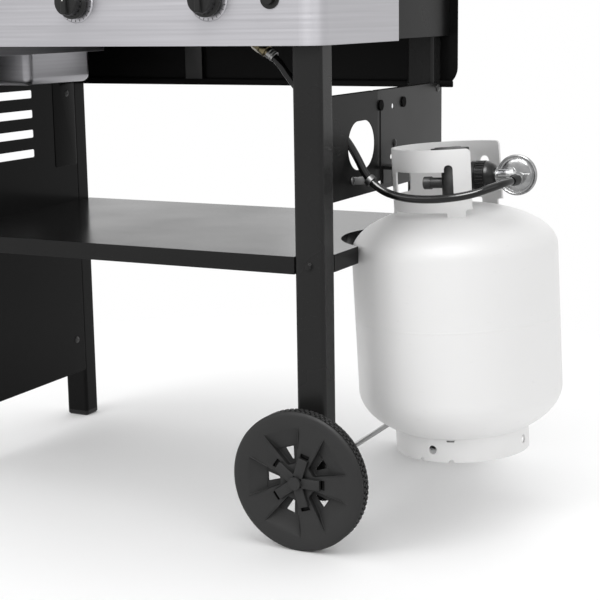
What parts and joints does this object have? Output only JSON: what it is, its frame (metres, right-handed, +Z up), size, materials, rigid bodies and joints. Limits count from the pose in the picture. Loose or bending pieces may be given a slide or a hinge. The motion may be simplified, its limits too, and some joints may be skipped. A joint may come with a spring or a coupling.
{
  "type": "outdoor gas griddle station",
  "caption": "Wheeled steel cart carrying a flat-top gas griddle with burner controls, a lower shelf and a gas cylinder hung at one side.",
  "frame": {"origin": "on the floor, under the middle of the whole part's box", "axes": "+X towards the gas cylinder, -Y towards the cook and the controls, +Z up"},
  "size_m": [1.0479, 0.5746, 0.885],
  "materials": {
    "black_paint": "satin powder coat",
    "stainless": "brushed",
    "griddle_steel": "oiled rolled steel",
    "zinc_steel": "bright zinc",
    "white_paint": "semi-gloss enamel",
    "wheel_plastic": "moulded",
    "black_plastic": "moulded",
    "brass": "turned",
    "cast_alloy": "die-cast",
    "hose_rubber": "smooth",
    "ceramic": "glazed"
  },
  "bodies": {
    "cart": {"axle": "zinc_steel", "axle_caps": "zinc_steel", "axle_washers": "zinc_steel", "burner_box": "black_paint", "burner_centre": "stainless", "burner_left": "stainless", "burner_right": "stainless", "control_panel": "stainless", "foot_cap_front_left": "black_plastic", "foot_cap_rear_left": "black_plastic", "frame_bolts": "zinc_steel", "gas_hose": "hose_rubber", "gas_manifold": "zinc_steel", "grease_chute": "stainless", "griddle_plate": "griddle_steel", "griddle_posts": "stainless", "hose_clip": "zinc_steel", "igniter_housing": "black_plastic", "inlet_fitting": "brass", "inlet_pipe": "zinc_steel", "knob_bezels": "stainless", "left_slotted_panel": "black_paint", "leg_front_left": "black_paint", "leg_front_right": "black_paint", "leg_rear_left": "black_paint", "leg_rear_right": "black_paint", "lower_shelf": "black_paint", "panel_bosses": "black_plastic", "panel_screws": "zinc_steel", "rear_apron": "black_paint", "regulator": "cast_alloy", "right_front_panel": "black_paint", "right_rear_panel": "black_paint", "spark_electrodes": "ceramic", "tank_collar": "white_paint", "tank_foot_ring": "white_paint", "tank_hook": "black_paint", "tank_shell": "white_paint", "tank_valve": "brass", "top_rail_front": "black_paint", "top_rail_left": "black_paint", "top_rail_rear": "black_paint", "top_rail_right": "black_paint", "tray_runner_left": "stainless", "tray_runner_right": "stainless", "valve_centre": "cast_alloy", "valve_left": "cast_alloy", "valve_right": "cast_alloy"},
    "wheel_front": {"wheel_front": "wheel_plastic"},
    "wheel_rear": {"wheel_rear": "wheel_plastic"},
    "grease_tray": {"grease_tray": "stainless"},
    "igniter_button": {"igniter_button": "black_plastic"},
    "tank_handwheel": {"tank_handwheel": "black_plastic"},
    "coupling_nut": {"coupling_nut": "black_plastic"},
    "stem_left": {"valve_stem_left": "zinc_steel"},
    "knob_left": {"knob_left": "black_plastic"},
    "stem_centre": {"valve_stem_centre": "zinc_steel"},
    "knob_centre": {"knob_centre": "black_plastic"},
    "stem_right": {"valve_stem_right": "zinc_steel"},
    "knob_right": {"knob_right": "black_plastic"}
  },
  "joints": [
    {"name": "wheel_front_spin", "type": "hinge", "parent": "cart", "child": "wheel_front", "pos_m": [0.23472, -0.266, 0.1015], "axis": [0, 1, 0], "continuous": true},
    {"name": "wheel_rear_spin", "type": "hinge", "parent": "cart", "child": "wheel_rear", "pos_m": [0.23472, 0.266, 0.1015], "axis": [0, 1, 0], "continuous": true},
    {"name": "knob_left_push", "type": "slide", "parent": "cart", "child": "stem_left", "axis": [0, 1, 0], "range_m": [0, 0.004], "stiffness_N_per_m": 600, "springref_m": -0.002},
    {"name": "knob_left_turn", "type": "hinge", "parent": "stem_left", "child": "knob_left", "pos_m": [-0.34327, -0.265, 0.765], "axis": [0, -1, 0], "range_deg": [0, 180]},
    {"name": "knob_centre_push", "type": "slide", "parent": "cart", "child": "stem_centre", "axis": [0, 1, 0], "range_m": [0, 0.004], "stiffness_N_per_m": 600, "springref_m": -0.002},
    {"name": "knob_centre_turn", "type": "hinge", "parent": "stem_centre", "child": "knob_centre", "pos_m": [-0.12327, -0.265, 0.765], "axis": [0, -1, 0], "range_deg": [0, 180]},
    {"name": "knob_right_push", "type": "slide", "parent": "cart", "child": "stem_right", "axis": [0, 1, 0], "range_m": [0, 0.004], "stiffness_N_per_m": 600, "springref_m": -0.002},
    {"name": "knob_right_turn", "type": "hinge", "parent": "stem_right", "child": "knob_right", "pos_m": [0.09673, -0.265, 0.765], "axis": [0, -1, 0], "range_deg": [0, 180]},
    {"name": "igniter_push", "type": "slide", "parent": "cart", "child": "igniter_button", "axis": [0, 1, 0], "range_m": [0, 0.004], "stiffness_N_per_m": 400, "springref_m": -0.002},
    {"name": "tray_slide", "type": "slide", "parent": "cart", "child": "grease_tray", "axis": [0, -1, 0], "range_m": [0, 0.12]},
    {"name": "handwheel_turn", "type": "hinge", "parent": "cart", "child": "tank_handwheel", "pos_m": [0.35406, 0, 0.53502], "axis": [-0.052, 0, 0.9986], "range_deg": [0, 540]},
    {"name": "coupling_nut_turn", "type": "hinge", "parent": "cart", "child": "coupling_nut", "pos_m": [0.4055, 0, 0.50856], "axis": [0.9986, 0, 0.052], "range_deg": [0, 720]}
  ]
}
